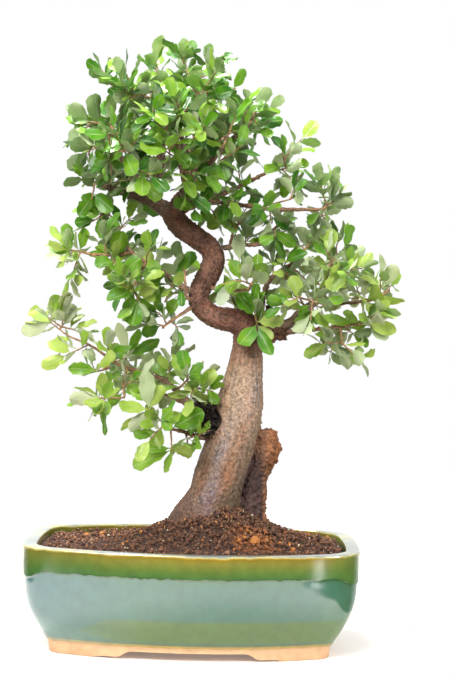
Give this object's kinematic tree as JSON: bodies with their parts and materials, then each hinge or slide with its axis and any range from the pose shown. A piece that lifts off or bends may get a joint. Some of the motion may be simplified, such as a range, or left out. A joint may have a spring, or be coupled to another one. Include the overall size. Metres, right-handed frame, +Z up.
{
  "type": "evergreen oak bonsai",
  "caption": "Evergreen oak bonsai with a leaning, S-curved trunk and leafy sprays, growing in a mound of soil in a long glazed pot with rounded corners, a banded rim and bracket feet.",
  "frame": {"origin": "on the ground under the middle of the bounding box of the whole plant and pot", "axes": "+Z up along the tree; X along the pot's length; the front of the tree faces -Y"},
  "size_m": [0.3332, 0.21, 0.5278],
  "materials": {
    "pot_glaze": "gloss",
    "soil": "matte",
    "bark": "matte",
    "leaf_dark": "satin",
    "leaf_green": "satin",
    "leaf_bright": "satin"
  },
  "bodies": {
    "root": {"pot": "pot_glaze", "soil": "soil", "trunk": "bark", "spray_crown_top": "leaf_green", "spray_crown_top_right": "leaf_dark", "spray_crown_top_left": "leaf_green", "spray_crown_top_front": "leaf_dark", "spray_crown_top_back": "leaf_dark", "spray_crown_right_top": "leaf_green", "spray_crown_right_tip": "leaf_dark", "spray_crown_right_front": "leaf_dark", "spray_crown_right_back": "leaf_dark", "spray_crown_left_tip": "leaf_green", "spray_crown_left_edge": "leaf_green", "spray_crown_left_low": "leaf_dark", "spray_crown_left_front": "leaf_dark", "spray_crown_left_back": "leaf_dark", "spray_crown_face": "leaf_dark", "spray_crown_face_low": "leaf_dark", "spray_crown_face_left": "leaf_dark", "spray_crown_under": "leaf_green", "spray_crown_back": "leaf_dark", "spray_crown_back_low": "leaf_dark", "spray_crown_back_under": "leaf_dark", "spray_side_tip": "leaf_green", "spray_side_middle": "leaf_dark", "spray_side_end": "leaf_green", "spray_side_under": "leaf_dark", "spray_right_upper": "leaf_dark", "spray_right_top": "leaf_green", "spray_right_peak": "leaf_green", "spray_right_front": "leaf_dark", "spray_right_middle": "leaf_dark", "spray_right_back": "leaf_dark", "spray_right_out": "leaf_green", "spray_right_low": "leaf_green", "spray_right_dangle": "leaf_dark", "spray_trunk_top": "leaf_dark", "spray_s_bend_tuft": "leaf_dark", "spray_left_cluster": "leaf_dark", "spray_left_star": "leaf_dark", "spray_left_inner": "leaf_dark", "spray_left_out": "leaf_green", "spray_left_behind": "leaf_dark", "spray_left_high": "leaf_dark", "spray_low_tip": "leaf_bright", "spray_low_middle": "leaf_green", "spray_low_fork": "leaf_green", "spray_low_front": "leaf_green", "spray_low_inner": "leaf_green", "spray_low_under": "leaf_dark", "spray_low_behind": "leaf_dark"}
  },
  "joints": []
}
